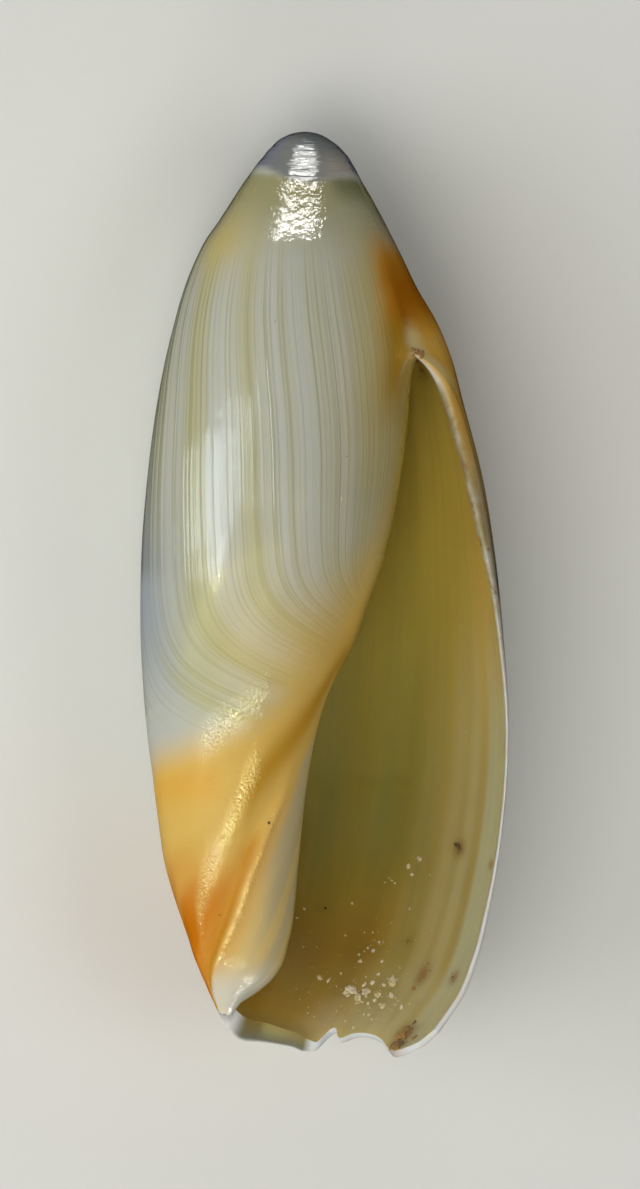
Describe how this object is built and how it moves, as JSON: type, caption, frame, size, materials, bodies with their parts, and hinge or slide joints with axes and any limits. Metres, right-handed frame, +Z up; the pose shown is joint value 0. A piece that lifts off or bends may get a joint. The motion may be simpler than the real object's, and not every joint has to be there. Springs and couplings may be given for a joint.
{
  "type": "ancilla shell",
  "caption": "Slender glossy ancilla sea shell, cream and orange, lying on its back with its long mouth open upwards.",
  "frame": {"origin": "centre of the shell's box, at the level it rests on", "axes": "+Y towards the pointed top of the shell, +Z up, the way the mouth opens, +X towards the outer lip"},
  "size_m": [0.0156, 0.04, 0.0121],
  "materials": {
    "shell": "glossy"
  },
  "bodies": {
    "root": {"shell": "shell"}
  },
  "joints": []
}
